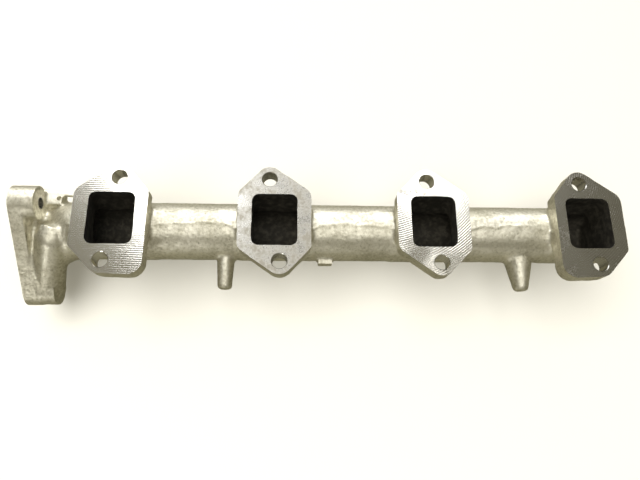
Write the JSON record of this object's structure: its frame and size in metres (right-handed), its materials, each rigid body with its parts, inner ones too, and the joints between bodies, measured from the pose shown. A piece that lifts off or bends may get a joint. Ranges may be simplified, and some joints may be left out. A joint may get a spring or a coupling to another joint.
{
  "type": "exhaust manifold",
  "caption": "Cast iron log exhaust manifold with flanged rectangular ports on one side, support posts and a triangular end outlet flange.",
  "frame": {"origin": "bottom centre of the part's box; the head face is the plane 80.0 mm above it", "axes": "+Z out of the milled port faces towards the cylinder head, +X along the log from the outlet to the closed end, +Y across the ports towards the side away from the posts"},
  "size_m": [0.3714, 0.0774, 0.08],
  "materials": {
    "cast_iron_skin": "shot-blasted as-cast surface, fine grain, light silver grey",
    "machined_iron": "flanges with faces milled flat, fine cutter marks, bright grey"
  },
  "bodies": {
    "root": {"port_flange_1": "machined_iron", "port_chamber_1": "cast_iron_skin", "port_flange_2": "machined_iron", "port_chamber_2": "cast_iron_skin", "port_flange_3": "machined_iron", "port_chamber_3": "cast_iron_skin", "port_flange_4": "machined_iron", "port_chamber_4": "cast_iron_skin", "log_tube_1_to_2": "cast_iron_skin", "log_tube_2_to_3": "cast_iron_skin", "log_tube_3_to_4": "cast_iron_skin", "closed_end_wall": "cast_iron_skin", "outlet_flange": "machined_iron", "outlet_boss_upper": "cast_iron_skin", "outlet_boss_lower": "cast_iron_skin", "outlet_boss_rear": "cast_iron_skin", "outlet_elbow": "cast_iron_skin", "outlet_column": "cast_iron_skin", "outlet_rib": "cast_iron_skin", "first_post": "cast_iron_skin", "second_post": "cast_iron_skin", "casting_pad": "cast_iron_skin"}
  },
  "joints": []
}
